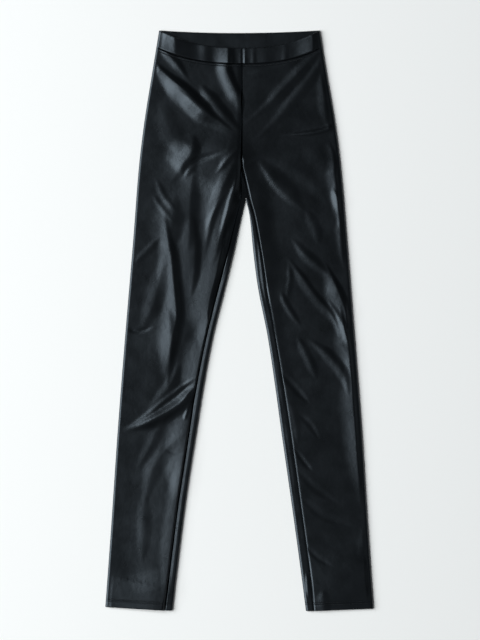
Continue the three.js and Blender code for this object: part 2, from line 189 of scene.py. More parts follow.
LEGS = {
    "right": {
        "sign": -1,
        # y, x of the outer fold
        "side": [(493, -136.2), (423, -147.6), (341, -160.8), (260, -170.6), (137, -180.2),
                 (-26, -193.9), (-189, -206.7), (-352, -217.8), (-488, -227.7)],
        # y, x of the inner fold, width of the strip from it to the inseam
        "inner": [(207, 11, 7), (178, 4.2, 7.6), (117, -9.4, 8.4), (56, -24.2, 9.9),
                  (-26, -44.7, 10.2), (-107, -60.1, 11.1), (-189, -73.2, 11.1), (-311, -91.9, 11),
                  (-434, -107.3, 11.2), (-492, -113.8, 11.6)],
        # y of the hem at the outer fold and at the inner fold
        "hem": (-486.5, -492.6),
        # how far in from a fold the cloth is rounded
        "shoulder": 3.4,
        # y, reach, depth of the front's furrow into its seam, which lies in the shade
        "furrow": [(465, 3.6, 1.5), (290, 3.6, 1.5), (250, 5.5, 1.7), (200, 6.5, 1.7), (120, 6, 2),
                   (60, 4, 1.6), (20, 2.6, 1.3), (-494, 2.6, 1.3)],
        # reach of the lie's slope to its seam down the leg and up at the hip, and between which
        # heights it changes from one to the other
        "slope": (3.5, 9, 60, 120),
        # how far from the seam the folds die away
        "calm": 4,
    },
    "left": {
        "sign": 1,
        "side": [(493, 136.6), (423, 147.6), (341, 161.6), (260, 172.2), (137, 182.6),
                 (-26, 195.4), (-189, 208), (-352, 218.2), (-488, 227.7)],
        "inner": [(207, 11, 7), (178, 17.6, 8.6), (117, 23.9, 13.4), (56, 31.9, 15),
                  (-26, 48.1, 13.8), (-107, 60.4, 15), (-189, 71.6, 16.4), (-311, 89, 16.2),
                  (-434, 105.8, 16.1), (-492, 113.2, 14.2)],
        "hem": (-489.5, -493.4),
        "shoulder": 4.6,
        # narrower and shallower than on the right, so that it catches a line of light
        "furrow": [(465, 0.8, 0.04), (290, 0.8, 0.04), (230, 0.8, 0.45), (90, 0.8, 0.5),
                   (45, 0.8, 0.1), (-5, 0.8, 0.05), (-30, 0.8, 0.2), (-120, 0.8, 0.35),
                   (-494, 0.8, 0.2)],
        "slope": (3, 90, 263, 293),
        "calm": 1.6,
    },
}


def ease(share):
    """0 below zero, 1 above one and a soft S between."""
    share = np.clip(share, 0, 1)
    return share * share * (3 - 2 * share)


def rising(y, low, high):
    """0 below one height, 1 above another and a soft S between."""
    return ease((y - low) / (high - low))


def mix(first, second, share):
    return first + (second - first) * share


def along(rows, column, y):
    """A smooth value from a table whose first column goes down in y."""
    heights = np.array([row[0] for row in rows], float)
    values = np.array([row[column] for row in rows], float)
    y = np.clip(np.asarray(y, float), heights[-1], heights[0])
    here = np.clip(np.searchsorted(-heights, -y, side="right") - 1, 0, len(heights) - 2)
    before, after = np.maximum(here - 1, 0), np.minimum(here + 2, len(heights) - 1)
    run = heights[here + 1] - heights[here]
    t = (y - heights[here]) / run
    first = (values[here + 1] - values[before]) / (heights[here + 1] - heights[before]) * run
    second = (values[after] - values[here]) / (heights[after] - heights[here]) * run
    start = (2 * t**3 - 3 * t**2 + 1) * values[here] + (t**3 - 2 * t**2 + t) * first
    return start + (3 * t**2 - 2 * t**3) * values[here + 1] + (t**3 - t**2) * second


def side_x(leg, y):
    return along(leg["side"], 1, y)


def inner_x(leg, y):
    return along(leg["inner"], 1, y)


def inseam_x(leg, y):
    fork = FORK_X + leg["sign"] * leg["inner"][0][2]
    above = mix(fork, CROTCH_X, (y - FORK_Y) / (CROTCH_Y - FORK_Y))
    below = inner_x(leg, y) + leg["sign"] * along(leg["inner"], 2, y)
    return np.where(y > FORK_Y, above, below)


def front_inner_x(leg, y):
    return np.where(y > CROTCH_Y, CENTRE_FRONT, inseam_x(leg, y))


SLANT_TOP, SLANT_RUN = -300, 170


def row_y(leg, level, across, dip, power):
    """A row bends down in the middle of the waist and slants along the hem."""
    waist = rising(level, CROTCH_Y, WAIST_SEAM)
    shin = ease((SLANT_TOP - level) / SLANT_RUN)
    slant = (leg["hem"][1] - leg["hem"][0]) * across
    return level - dip * (1 - np.clip(1 - across, 0, 1) ** power) * waist + slant * shin


# The hem is turned up once. Its edge is a round roll, and the rows of points are closer there.
HEM_DEPTH = 12
HEM_ROLL = 1.15
HEM_ROWS = 24


def leg_levels(leg, step, waist_rows):
    """Heights of a panel's rows: closer under the waist seam and down the hem."""
    hem = leg["hem"][0]
    under_waist = WAIST_SEAM - np.array(waist_rows)
    hem_top = hem + HEM_DEPTH + 5
    body = np.linspace(under_waist[-1], hem_top, int((under_waist[-1] - hem_top) / step) + 1)
    turn_up = np.linspace(hem_top, hem + HEM_ROLL, HEM_ROWS)
    return np.concatenate([under_waist[:-1], body, turn_up[1:]])


# The lie of the cloth without its folds: the radius of the outer fold, how far in from it the lie
# starts, how wide it slopes there, its height at the middle of leg and hip, and its lowest.
LEG_FOLD = 2.6
LIE_START = 4.6
SIDE_SLOPE = 90
LEG_LIE, HIP_LIE = 5.5, 6.0
LEG_LIE_Y, HIP_LIE_Y = 100, 300
LOWEST_LIE = 3.4
# The wearer's left front stands proud at the centre seam, and the right lies under it. At the
# inseam both lie lower, and the right comes up again over the thick hem.
LEFT_CENTRE_RISE, LEFT_INSEAM_DROP = 1.4, 0.3
RIGHT_CENTRE_LIE, RIGHT_INSEAM_LIE, RIGHT_HEM_LIE = 5.0, 3.9, 5.1
CENTRE_LIE_Y = CROTCH_Y + 20
# Folds die away towards the side, and keep this share of their height over the thick hem.
SIDE_CALM = 6
HEM_FOLDS = 0.8
HEM_CALM = 30
# Over the crotch the left front's folds run right to its seam.
SEAM_FOLDS_Y = CROTCH_Y + 12

# The cloth has been worn and folded, and lies in soft drag lines across the hips and in longer
# folds down the legs. A fold's crest runs down through a few places. It falls away over one
# width towards -X (rise) and another towards +X (fall). Its top is round, or sharper where crisp
# is more than 0, and a height under 0 makes a crease.
FOLDS = [
    # crest, rise, fall, height, crisp. Wearer's right: drag lines from the hip to the centre front
    ([(-148, 486), (-130, 464), (-118, 450), (-107, 438), (-98, 426), (-84, 406)], 13, 10, 1.8, 0.3),
    ([(-150, 443), (-117, 412), (-91, 390), (-65, 366), (-46, 347), (-4, 316)], 31, 13, 5.3, 0.2),
    ([(-106, 394), (-86, 378), (-68, 362), (-51, 346), (-34, 332)], 24, 10, 1.6, 0.2),
    ([(-68, 402), (-58, 390), (-48, 377), (-37, 363), (-25, 349), (-12, 335), (5, 318)], 24, 14, 2.5, 0.0),
    ([(-23, 500), (-22, 450), (-21, 428), (-12, 404), (-3, 385), (3, 368), (4, 346)], 23, 10, 3.2, 0.1),
    ([(-132, 376), (-122, 335), (-110, 305), (-104, 284)], 26, 26, 0.9, 0.0),
    ([(-77, 318), (-80, 293), (-84, 268), (-93, 240)], 47, 16, 2.4, 0.2),
    # wearer's right: the crotch fan and the front of the thigh
    ([(0, 318), (-3, 276), (-7, 232), (-11, 210), (-15, 189), (-22, 168),
      (-30, 147), (-37, 124), (-46, 92)], 56, 11, 3.1, 0.0),
    ([(-4, 340), (-15, 302), (-24, 272), (-31, 244), (-44, 214), (-66, 170)], 104, 60, 5.2, 0.25),
    ([(-58, 312), (-72, 296), (-82, 284), (-94, 268), (-106, 250), (-116, 230)], 40, 14, 1.4, 0.3),
    ([(-110, 216), (-114, 180), (-119, 148), (-122, 112)], 38, 24, 1.6, 0.1),
    ([(-18, 292), (-50, 280), (-76, 271), (-90, 258), (-97, 242)], 9, 9, -1.4, 0.3),
    ([(0, 294), (-12, 281), (-26, 266), (-40, 248)], 8, 6, 1.1, 0.4),
    ([(2, 300), (-9, 266), (-22, 238), (-34, 210), (-43, 184), (-52, 148), (-62, 96)], 16, 9, 1.3, 0.3),
    ([(-12, 240), (-30, 206), (-46, 178), (-56, 150)], 6, 5, 0.6, 0.2),
    ([(5, 274), (-4, 240), (-10, 222), (-16, 204), (-21, 184), (-28, 160), (-36, 132)], 6, 14, 1.7, 0.3),
    ([(-20, 196), (-30, 120), (-38, 80), (-46, 48), (-52, 16), (-53, -14), (-53, -60)], 46, 8, 4.3, 0.4),
    ([(-76, 266), (-82, 222), (-84, 190), (-84, 160), (-88, 112)], 66, 20, 2.2, 0.4),
    ([(-142, 244), (-128, 212), (-106, 184)], 9, 8, 0.6, 0.3),
    ([(-148, 216), (-130, 190), (-112, 168)], 8, 7, 0.5, 0.3),
    ([(-128, 190), (-122, 150), (-115, 112), (-110, 60), (-106, 10), (-111, -20),
      (-116, -50), (-119, -80), (-124, -116)], 32, 15, 3.8, 0.6),
    ([(-80, 186), (-76, 130), (-77, 84), (-84, 36)], 34, 12, 1.8, 0.1),
    ([(-124, 120), (-135, 70), (-143, 38), (-152, 12), (-168, -16)], 22, 18, 1.3, 0.2),
    ([(-134, 144), (-156, 120), (-184, 94)], 8, 9, 0.6, 0.2),
    ([(-198, -10), (-172, -18), (-144, -8)], 6, 6, -0.9, 0.3),
    ([(-122, 24), (-118, -32), (-126, -92)], 66, 16, 1.4, 0.0),
    # wearer's right: knee and shin
    ([(-45, 34), (-51, -20), (-57, -56), (-62, -82), (-66, -100), (-74, -122),
      (-88, -150)], 42, 5, 4.0, 0.3),
    ([(-100, -66), (-112, -100), (-128, -124), (-156, -152)], 14, 13, 1.1, 0.1),
    ([(-66, -92), (-96, -112), (-122, -132), (-152, -156), (-192, -183)], 8, 6, 1.4, 0.3),
    ([(-70, -108), (-84, -121), (-100, -140), (-132, -160), (-168, -177), (-200, -186)], 15, 18, 4.4, 0.3),
    ([(-84, -140), (-90, -158), (-94, -170)], 5, 5, 0.8, 0.3),
    ([(-78, -130), (-85, -176), (-91, -222), (-97, -262), (-103, -312)], 40, 5, 3.0, 0.1),
    ([(-88, -224), (-108, -225), (-128, -218)], 5, 5, -0.4, 0.3),
    ([(-78, -120), (-93, -230), (-107, -340), (-120, -440), (-127, -520)], 88, 5, 3.0, 0.0),
    ([(-96, -192), (-124, -218), (-140, -240), (-150, -264), (-162, -316)], 20, 20, 0.9, 0.1),
    ([(-122, -160), (-142, -192), (-154, -218), (-176, -256)], 14, 14, 0.7, 0.2),
    ([(-84, -190), (-93, -240), (-100, -288), (-106, -336), (-111, -370),
      (-115, -408), (-120, -450), (-127, -540)], 26, 6, 1.6, 0.1),
    ([(-160, -290), (-162, -330), (-163, -366), (-166, -416)], 15, 15, 0.5, 0.0),
    ([(-118, -416), (-122, -450), (-130, -480), (-138, -520), (-146, -560)], 108, 6, 4.8, 0.0),
    # wearer's left: drag lines across the hip
    ([(148, 470), (122, 444), (102, 422), (84, 403), (66, 384), (46, 364), (4, 330)], 15, 15, 1.6, 0.1),
    ([(152, 458), (130, 427), (112, 402), (92, 376), (64, 342), (20, 300)], 15, 14, 1.2, 0.0),
    ([(106, 447), (80, 434), (44, 424), (10, 420)], 9, 9, 0.8, 0.0),
    ([(140, 430), (144, 392), (146, 360), (152, 328)], 16, 9, 1.0, 0.1),
    ([(186, 348), (154, 328), (120, 319), (70, 315)], 8, 9, 2.5, 0.6),
    # wearer's left: the dark inner thigh, the wedge beside it and the outer thigh
    ([(2, 300), (12, 250), (22, 200), (31, 152), (39, 108), (47, 60), (51, 20)], 5, 34, 1.8, 0.2),
    ([(28, 268), (48, 232), (60, 196), (65, 160), (64, 120), (60, 70), (60, 20)], 32, 90, -0.8, 0.0),
    ([(28, 280), (50, 250), (67, 228), (90, 206), (112, 186)], 13, 24, 1.4, 0.1),
    ([(44, 272), (70, 240), (88, 206), (100, 160), (112, 112)], 30, 46, 0.4, 0.0),
    ([(28, 280), (70, 254), (110, 226), (152, 192)], 20, 20, -0.8, 0.1),
    ([(100, 306), (132, 282), (150, 256), (160, 230)], 26, 24, 0.7, 0.0),
    ([(151, 308), (167, 268), (173, 244), (177, 222), (180, 196), (183, 160)], 30, 5, 3.4, 0.2),
    ([(158, 228), (174, 196), (184, 168), (188, 122)], 20, 6, 2.9, 0.2),
    ([(112, 190), (128, 160), (136, 128)], 12, 12, 0.6, 0.0),
    ([(172, 180), (180, 138), (184, 86)], 18, 5, 1.6, 0.2),
    ([(88, 142), (112, 113), (130, 97), (156, 74)], 13, 12, 1.3, 0.2),
    ([(144, 102), (161, 68), (172, 43), (182, 16), (188, -10), (191, -54)], 31, 9, 3.9, 0.3),
    ([(149, 38), (165, 12), (178, -12), (188, -46)], 18, 8, 1.1, 0.3),
    ([(76, 116), (97, 88), (112, 67), (128, 44), (149, 20), (162, 0), (174, -32)], 15, 8, 1.3, 0.2),
    ([(84, 100), (86, 70), (80, 36)], 7, 7, 0.5, 0.1),
    ([(70, 50), (83, 22), (106, -12)], 9, 8, 0.9, 0.2),
    # wearer's left: knee and shin
    ([(66, 60), (74, 10), (84, -40), (94, -90), (104, -130), (110, -180)], 24, 80, -0.8, 0.0),
    ([(84, -130), (92, -158), (97, -182), (100, -212)], 8, 10, 0.4, 0.1),
    ([(170, 30), (182, -24), (191, -56), (196, -84), (198, -130)], 30, 6, 3.1, 0.3),
    ([(112, -28), (142, -50), (164, -72), (180, -98), (186, -130)], 14, 12, 1.5, 0.1),
    ([(184, -40), (197, -84), (204, -128), (209, -160), (214, -200), (219, -248),
      (223, -300), (225, -350)], 42, 5, 4.5, 0.3),
    ([(98, -26), (118, -64), (132, -100)], 12, 10, 0.9, 0.1),
    ([(72, -88), (92, -112), (122, -144)], 8, 9, -0.7, 0.2),
    ([(100, -158), (118, -174), (138, -204)], 7, 8, -0.5, 0.3),
    ([(92, -214), (110, -240), (124, -256)], 6, 7, -0.7, 0.3),
    ([(96, -250), (128, -284), (170, -312)], 9, 10, -0.5, 0.1),
    ([(102, -296), (128, -322), (156, -338), (204, -352)], 9, 12, -0.5, 0.1),
    ([(110, -380), (134, -404), (160, -418)], 6, 8, -0.6, 0.2),
    ([(252, -420), (205, -444), (165, -462), (110, -500)], 90, 44, 2.6, 0.0),
    ([(142, -456), (144, -484), (146, -516)], 16, 14, 1.3, 0.2),
    ([(222, -346), (214, -368), (204, -408)], 14, 8, 0.5, 0.1),
]

# share of a crest at each end where its fold rises from nothing, and the share of its width there
FOLD_ENDS = 0.36
END_WIDTH = 0.35


def crest_line(places, steps=24):
    """Points along a smooth curve through a crest's places."""
    stops = np.array([places[0], *places, places[-1]], float)
    stretches = len(places) - 1
    walk = np.linspace(0, stretches, steps + 1)
    here = np.minimum(walk.astype(int), stretches - 1)
    t = (walk - here)[:, None]
    before, start, end, after = stops[here], stops[here + 1], stops[here + 2], stops[here + 3]
    bend = 2 * before - 5 * start + 4 * end - after + t * (3 * (start - end) + after - before)
    return start + t / 2 * (end - before + t * bend)


def raised(folds, x, y):
    """How far the folds lift the cloth at each place."""
    total = np.zeros(x.shape)
    y = np.broadcast_to(y, x.shape)
    for crest, rise, fall, height, crisp in folds:
        line = crest_line(crest)
        reach = max(rise, fall)
        low, high = line.min(axis=0) - reach, line.max(axis=0) + reach
        near = (x > low[0]) & (x < high[0]) & (y > low[1]) & (y < high[1])
        near_x, near_y = x[near], y[near]
        nearest = np.full(near_x.shape, np.inf)
        side = np.zeros(near_x.shape)
        share = np.zeros(near_x.shape)
        for k in range(len(line) - 1):
            run = line[k + 1] - line[k]
            to_x, to_y = near_x - line[k, 0], near_y - line[k, 1]
            t = np.clip((to_x * run[0] + to_y * run[1]) / (run @ run), 0, 1)
            away = np.hypot(to_x - t * run[0], to_y - t * run[1])
            closer = away < nearest
            nearest = np.where(closer, away, nearest)
            side = np.where(closer, run[0] * to_y - run[1] * to_x, side)
            share = np.where(closer, (k + t) / (len(line) - 1), share)
        ends = ease(share / FOLD_ENDS) * ease((1 - share) / FOLD_ENDS)
        width = np.where(side < 0, rise, fall) * mix(END_WIDTH, 1, ends)
        inward = np.clip(1 - nearest / width, 0, 1)
        total[near] += height * ends * mix(ease(inward), inward**2, crisp)
    return total


def seam_dip(away, reach, depth):
    """How far the cloth goes down into a seam at a distance from it."""
    return depth * np.clip(1 - away / reach, 0, 1) ** 2


def front_height(leg, x, y):
    """Height of the front's upper face between its outer roll and its inner edge."""
    from_side = np.abs(x - side_x(leg, y)) - LIE_START
    from_seam = np.abs(x - front_inner_x(leg, y))
    above_turn_up = y - leg["hem"][1] - HEM_DEPTH
    middle = mix(LEG_LIE, HIP_LIE, rising(y, LEG_LIE_Y, HIP_LIE_Y))
    seam_fade = ease(from_seam / leg["calm"])
    if leg["sign"] > 0:
        centre = middle + LEFT_CENTRE_RISE
        inseam = middle - LEFT_INSEAM_DROP
        seam_fade = mix(seam_fade, 1, rising(y, CROTCH_Y, SEAM_FOLDS_Y))
    else:
        centre = RIGHT_CENTRE_LIE
        inseam = mix(RIGHT_HEM_LIE, RIGHT_INSEAM_LIE, ease((above_turn_up - 4) / HEM_CALM))
    seam = mix(inseam, centre, rising(y, FORK_Y, CENTRE_LIE_Y))
    slope_low, slope_high, slope_from, slope_to = leg["slope"]
    seam_slope = mix(slope_low, slope_high, rising(y, slope_from, slope_to))
    base = (middle + (2 * LEG_FOLD - middle) * (1 - ease(from_side / SIDE_SLOPE))
            + (seam - middle) * (1 - ease(from_seam / seam_slope)))
    hem_fade = mix(HEM_FOLDS, 1, ease(above_turn_up / HEM_CALM))
    lift = raised(FOLDS, x, y) * ease(from_side / SIDE_CALM) * seam_fade * hem_fade
    furrow = seam_dip(from_seam, along(leg["furrow"], 1, y), along(leg["furrow"], 2, y))
    return np.maximum(LOWEST_LIE, base + lift) - furrow


# Rows of stitches, measured down from the waist seam and up from the hem's edge. The thread pulls
# the cloth into a furrow, and the turned-up hem stands a little higher as far as it reaches.
BAND_STITCH_ROW = 4.2
HEM_STITCH_ROWS = 10, 13.4
GROOVE_DEPTH, GROOVE_WIDTH = 0.45, 0.8
TURN_UP_STEP, TURN_UP_SLOPE = 0.4, 1.6

# lines of the rows of stitches, by the name of the piece that the section on stitching makes
sewn_rows = {}


def stitch_groove(away):
    """The furrow that a row of stitches pulls into the cloth."""
    return GROOVE_DEPTH * np.exp(-(away / GROOVE_WIDTH) ** 2)


def hem_relief(above_hem):
    """The turned-up hem is two cloths thick, with two rows of stitches."""
    relief = TURN_UP_STEP * ease((HEM_DEPTH + 2 - above_hem) / TURN_UP_SLOPE)
    for row in HEM_STITCH_ROWS:
        relief = relief - stitch_groove(above_hem - row)
    return relief


def row_line(points, level, at, columns):
    """The line across a panel's grid at one level."""
    return np.array([[np.interp(-at, -level, points[:, column, axis]) for axis in range(3)]
                     for column in columns])


def outward(points, turned):
    """Unit directions out of a grid of points."""
    down = np.gradient(points, axis=0)
    across = np.gradient(points, axis=1)
    out = np.cross(down, across)
    out /= np.maximum(np.linalg.norm(out, axis=2, keepdims=True), 1e-9)
    return -out if turned else out


def turn_up_hem(points, outwards, level, hem):
    """Rolls a panel round the hem edge and 12 mm up inside it."""
    edge, out = points[-1:], outwards[-1:]
    turned = []
    for angle in np.radians(np.linspace(70, -90, 7)):
        sunk = HEM_ROLL * (1 - math.sin(angle))
        turned.append(edge - out * sunk - np.array([0, HEM_ROLL * math.cos(angle), 0]))
    doubled = level <= hem + HEM_DEPTH
    inside = (points - outwards * 2 * HEM_ROLL)[doubled][::-1][1::2]
    return np.concatenate([points, *turned, inside])


CLOTH = 1.1


def sew_sheet(name, points, here, turned, cloth=CLOTH):
    """A sheet of cloth from a grid of outer points, thickened inwards. A point that isn't here
    leaves a gap in the grid."""
    number = np.full(here.shape, -1)
    number[here] = np.arange(here.sum())
    corners = np.stack([number[:-1, :-1], number[1:, :-1], number[1:, 1:], number[:-1, 1:]], axis=-1)
    quads = corners.reshape(-1, 4)
    quads = quads[(quads >= 0).all(axis=1)]
    if turned:
        quads = quads[:, ::-1]
    mesh = bpy.data.meshes.new(name)
    mesh.from_pydata((points[here] * MM).tolist(), [], quads.tolist())
    mesh.polygons.foreach_set("use_smooth", [True] * len(mesh.polygons))
    mesh.materials.append(faux_leather)
    edge_of_corner = np.zeros(len(mesh.loops), int)
    mesh.loops.foreach_get("edge_index", edge_of_corner)
    free = np.bincount(edge_of_corner, minlength=len(mesh.edges)) == 1
    mesh.edges.foreach_set("use_edge_sharp", free)
    piece = bpy.data.objects.new(name, mesh)
    bpy.context.collection.objects.link(piece)
    wall = piece.modifiers.new("cloth_thickness", "SOLIDIFY")
    wall.thickness = cloth * MM
    wall.offset = -1
    return piece


OPEN_COLUMNS = 70
# reach and depth of the furrow below the waistband, and how far in from the side rows fade in
WAIST_FURROW = 2.4, 1.3
ROW_FADE = 9


def front_panel(side):
    leg = LEGS[side]
    sign = leg["sign"]
    hem = leg["hem"][0]
    level = leg_levels(leg, step=2, waist_rows=[0, 0.4, 0.8, 1.3, 1.9, 2.5, 3.1, 3.6, 4.1, 4.6, 5.1,
                                                5.7, 6.5, 8])
    below_seam = WAIST_SEAM - level
    roll = np.radians(np.linspace(3, 90, 8))[:-1]
    shoulder = leg["shoulder"]
    width = np.abs(front_inner_x(leg, level) - side_x(leg, level))[:, None]
    # columns: round the outer roll, across the panel, and close together down to the seam
    seam_zone = np.array([6, 5, 4.2, 3.5, 2.8, 2.2, 1.6, 1.1, 0.7, 0.35, 0])[None, :]
    open_share = np.linspace(0, 1, OPEN_COLUMNS)[None, :-1]
    away = np.concatenate([
        np.broadcast_to(shoulder * (1 - np.cos(roll)), (len(level), len(roll))),
        mix(shoulder, width - seam_zone[0, 0], open_share),
        width - seam_zone], axis=1)
    y = row_y(leg, level[:, None], away / width, FRONT_DIP, FRONT_DIP_POWER)
    narrowed = np.abs(front_inner_x(leg, y) - side_x(leg, y)) - width
    open_width = width - shoulder - seam_zone[0, 0]
    x = side_x(leg, y) - sign * (away + narrowed * ease((away - shoulder) / open_width))
    z = front_height(leg, x, y)
    z[:, :len(roll)] = LEG_FOLD + LEG_FOLD * np.sin(roll)
    across = ease(away / ROW_FADE)
    z = z - seam_dip(below_seam, *WAIST_FURROW)[:, None] * across
    z = z - stitch_groove(below_seam - BAND_STITCH_ROW)[:, None] * across
    z = z + hem_relief(level - hem)[:, None] * across
    points = np.stack([x, y, z], axis=2)
    sewn = range(len(roll) + 2, points.shape[1] - 6)
    rows = [WAIST_SEAM - BAND_STITCH_ROW] + [hem + row for row in HEM_STITCH_ROWS]
    sewn_rows[f"front_stitching_{side}"] = [row_line(points, level, row, sewn) for row in rows]
    points = turn_up_hem(points, outward(points, sign > 0), level, hem)
    return sew_sheet(f"front_panel_{side}", points, np.ones(points.shape[:2], bool), sign > 0)


for side in LEGS:
    panel = front_panel(side)
    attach(panel, "root")
    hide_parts(f"front_{side}")


# ---- Back panels ----
# The back carries the garment on the floor. It rolls up at the outer fold to the side seam, and
# wraps the inner fold to the inseam on the front. Over the fork a tongue of it reaches the crotch.

BACK_DIP, BACK_DIP_POWER = 4.5, 2
CENTRE_BACK = -6.5
TONGUE_TOP = 256
# radius of the inner fold at the fork, and how far the outer fold reaches on the underside
FORK_FOLD = 1.5
UNDER_ROLL = 3.2
# A back is about 150 mm wide, and the last column of points but one lies close to its free edge.
BACK_WIDTH = 150
EDGE_COLUMN = 0.35
UNDER_COLUMNS = 36
STRIP_COLUMNS = 15
# height of the tongue at the inseam and at the back seam
TONGUE_HEIGHTS = {"right": (4.4, 3), "left": (2.2, 3.8)}
# The hollows of the underside keep off this share of its width at each edge.
HOLLOW_MARGIN = 0.08
# Up the thigh the inner fold tightens from here to the fork, and its shoulder between these.
TIGHTER_Y = 100
TIGHTER_SHOULDER_Y = 120, 200

STRIP_FOLDS = [
    # crest, rise, fall, height, crisp. Wearer's left strip, where it swells beside the inner fold
    ([(30, 170), (36, 112), (41, 66), (47, 24)], 5, 5, 0.6, 0.2),
    ([(60, -58), (70, -112), (76, -152)], 5, 5, 0.2, 0.2),
    ([(74, -150), (84, -204), (92, -262), (98, -322)], 5, 4, 0.2, 0.2),
    ([(114, -426), (116, -448), (118, -472)], 5, 5, 0.8, 0.2),
]

UNDER_FOLDS = [
    # crest, rise, fall, height, crisp. Where the back stands off the floor in shallow hollows
    ([(-120, 470), (-80, 420), (-40, 380), (-14, 350)], 16, 22, 0.9, 0.1),
    ([(118, 462), (84, 424), (48, 388), (14, 352)], 20, 14, 0.8, 0.1),
    ([(-150, 330), (-110, 312), (-60, 300)], 14, 20, 0.7, 0.1),
    ([(154, 320), (110, 300), (52, 292)], 18, 12, 0.6, 0.1),
    ([(-120, 220), (-112, 150), (-104, 70), (-110, -10)], 26, 34, 0.9, 0.0),
    ([(60, 210), (84, 140), (100, 60), (112, -20)], 30, 22, 0.8, 0.0),
    ([(-190, -60), (-140, -86), (-90, -104)], 12, 16, 0.8, 0.2),
    ([(186, -50), (140, -74), (92, -84)], 14, 10, 0.7, 0.2),
    ([(-184, -120), (-130, -132), (-84, -130)], 10, 12, 0.6, 0.2),
    ([(-150, -170), (-156, -260), (-160, -360), (-164, -450)], 24, 30, 0.8, 0.0),
    ([(130, -150), (150, -250), (164, -360), (168, -440)], 28, 22, 0.8, 0.0),
]


def upper_back_seam_x(y):
    """The tongue's edge, from the fork up to the crotch."""
    return mix(FORK_X, CROTCH_X, (y - FORK_Y) / (CROTCH_Y - FORK_Y))


def lower_back_seam_x(y):
    """The centre back seam on the underside, from the fork up to the waist."""
    return mix(FORK_X, CENTRE_BACK, rising(y, FORK_Y, WAIST_SEAM))


# The wearer's left strip swells a little beside its fold, and has a furrow into its seam.
SWELL, SWELL_REACH = 0.1, 7
LEFT_STRIP_FURROW = 4, 1.2
# The right strip leans up to its seam on the thigh. Down the leg it is a ridge at its fold, which
# slopes down to the seam, and is level again over the hem.
THIGH_STRIP_Y = 60, 140
LEAN = 1.4
RIDGE, RIDGE_REACH = 0.6, 5.6
LEVEL_STRIP_Y = -490, -410
RIGHT_STRIP_FURROW, LEG_FURROW_DEPTH, THIGH_FURROW_DEPTH = 0.8, 0.5, 0.05


def left_strip_height(from_seam, span, fold_top):
    swell = SWELL * ease((span - from_seam) / SWELL_REACH)
    return fold_top + swell - seam_dip(from_seam, *LEFT_STRIP_FURROW)


def right_strip_height(y, from_seam, span, fold_top):
    thigh = rising(y, *THIGH_STRIP_Y)
    leaning = fold_top + mix(LEAN, 0, from_seam / span)
    slope = RIDGE * rising(y, *LEVEL_STRIP_Y) * ease((RIDGE_REACH - from_seam) / RIDGE_REACH)
    depth = mix(LEG_FURROW_DEPTH, THIGH_FURROW_DEPTH, thigh)
    return mix(fold_top - slope, leaning, thigh) - seam_dip(from_seam, RIGHT_STRIP_FURROW, depth)


def back_underside(leg, level, radius):
    """From just inside the outer fold to the inner fold, or to the centre back seam."""
    hem = leg["hem"][0]
    share = np.append(np.linspace(0, 1 - EDGE_COLUMN / BACK_WIDTH, UNDER_COLUMNS), 1)[None, :]
    share = mix(UNDER_ROLL / BACK_WIDTH, 1, share)
    y = row_y(leg, level, share, BACK_DIP, BACK_DIP_POWER)
    end = np.where(level <= FORK_Y, inner_x(leg, y) + leg["sign"] * radius, lower_back_seam_x(y))
    x = mix(side_x(leg, y), end, share)
    inside = ease(share / HOLLOW_MARGIN) * ease((1 - share) / HOLLOW_MARGIN)
    hollow = raised(UNDER_FOLDS, x, y) * inside * ease((level - hem - HEM_DEPTH) / HEM_CALM)
    return np.stack([x, y, hollow], axis=2)


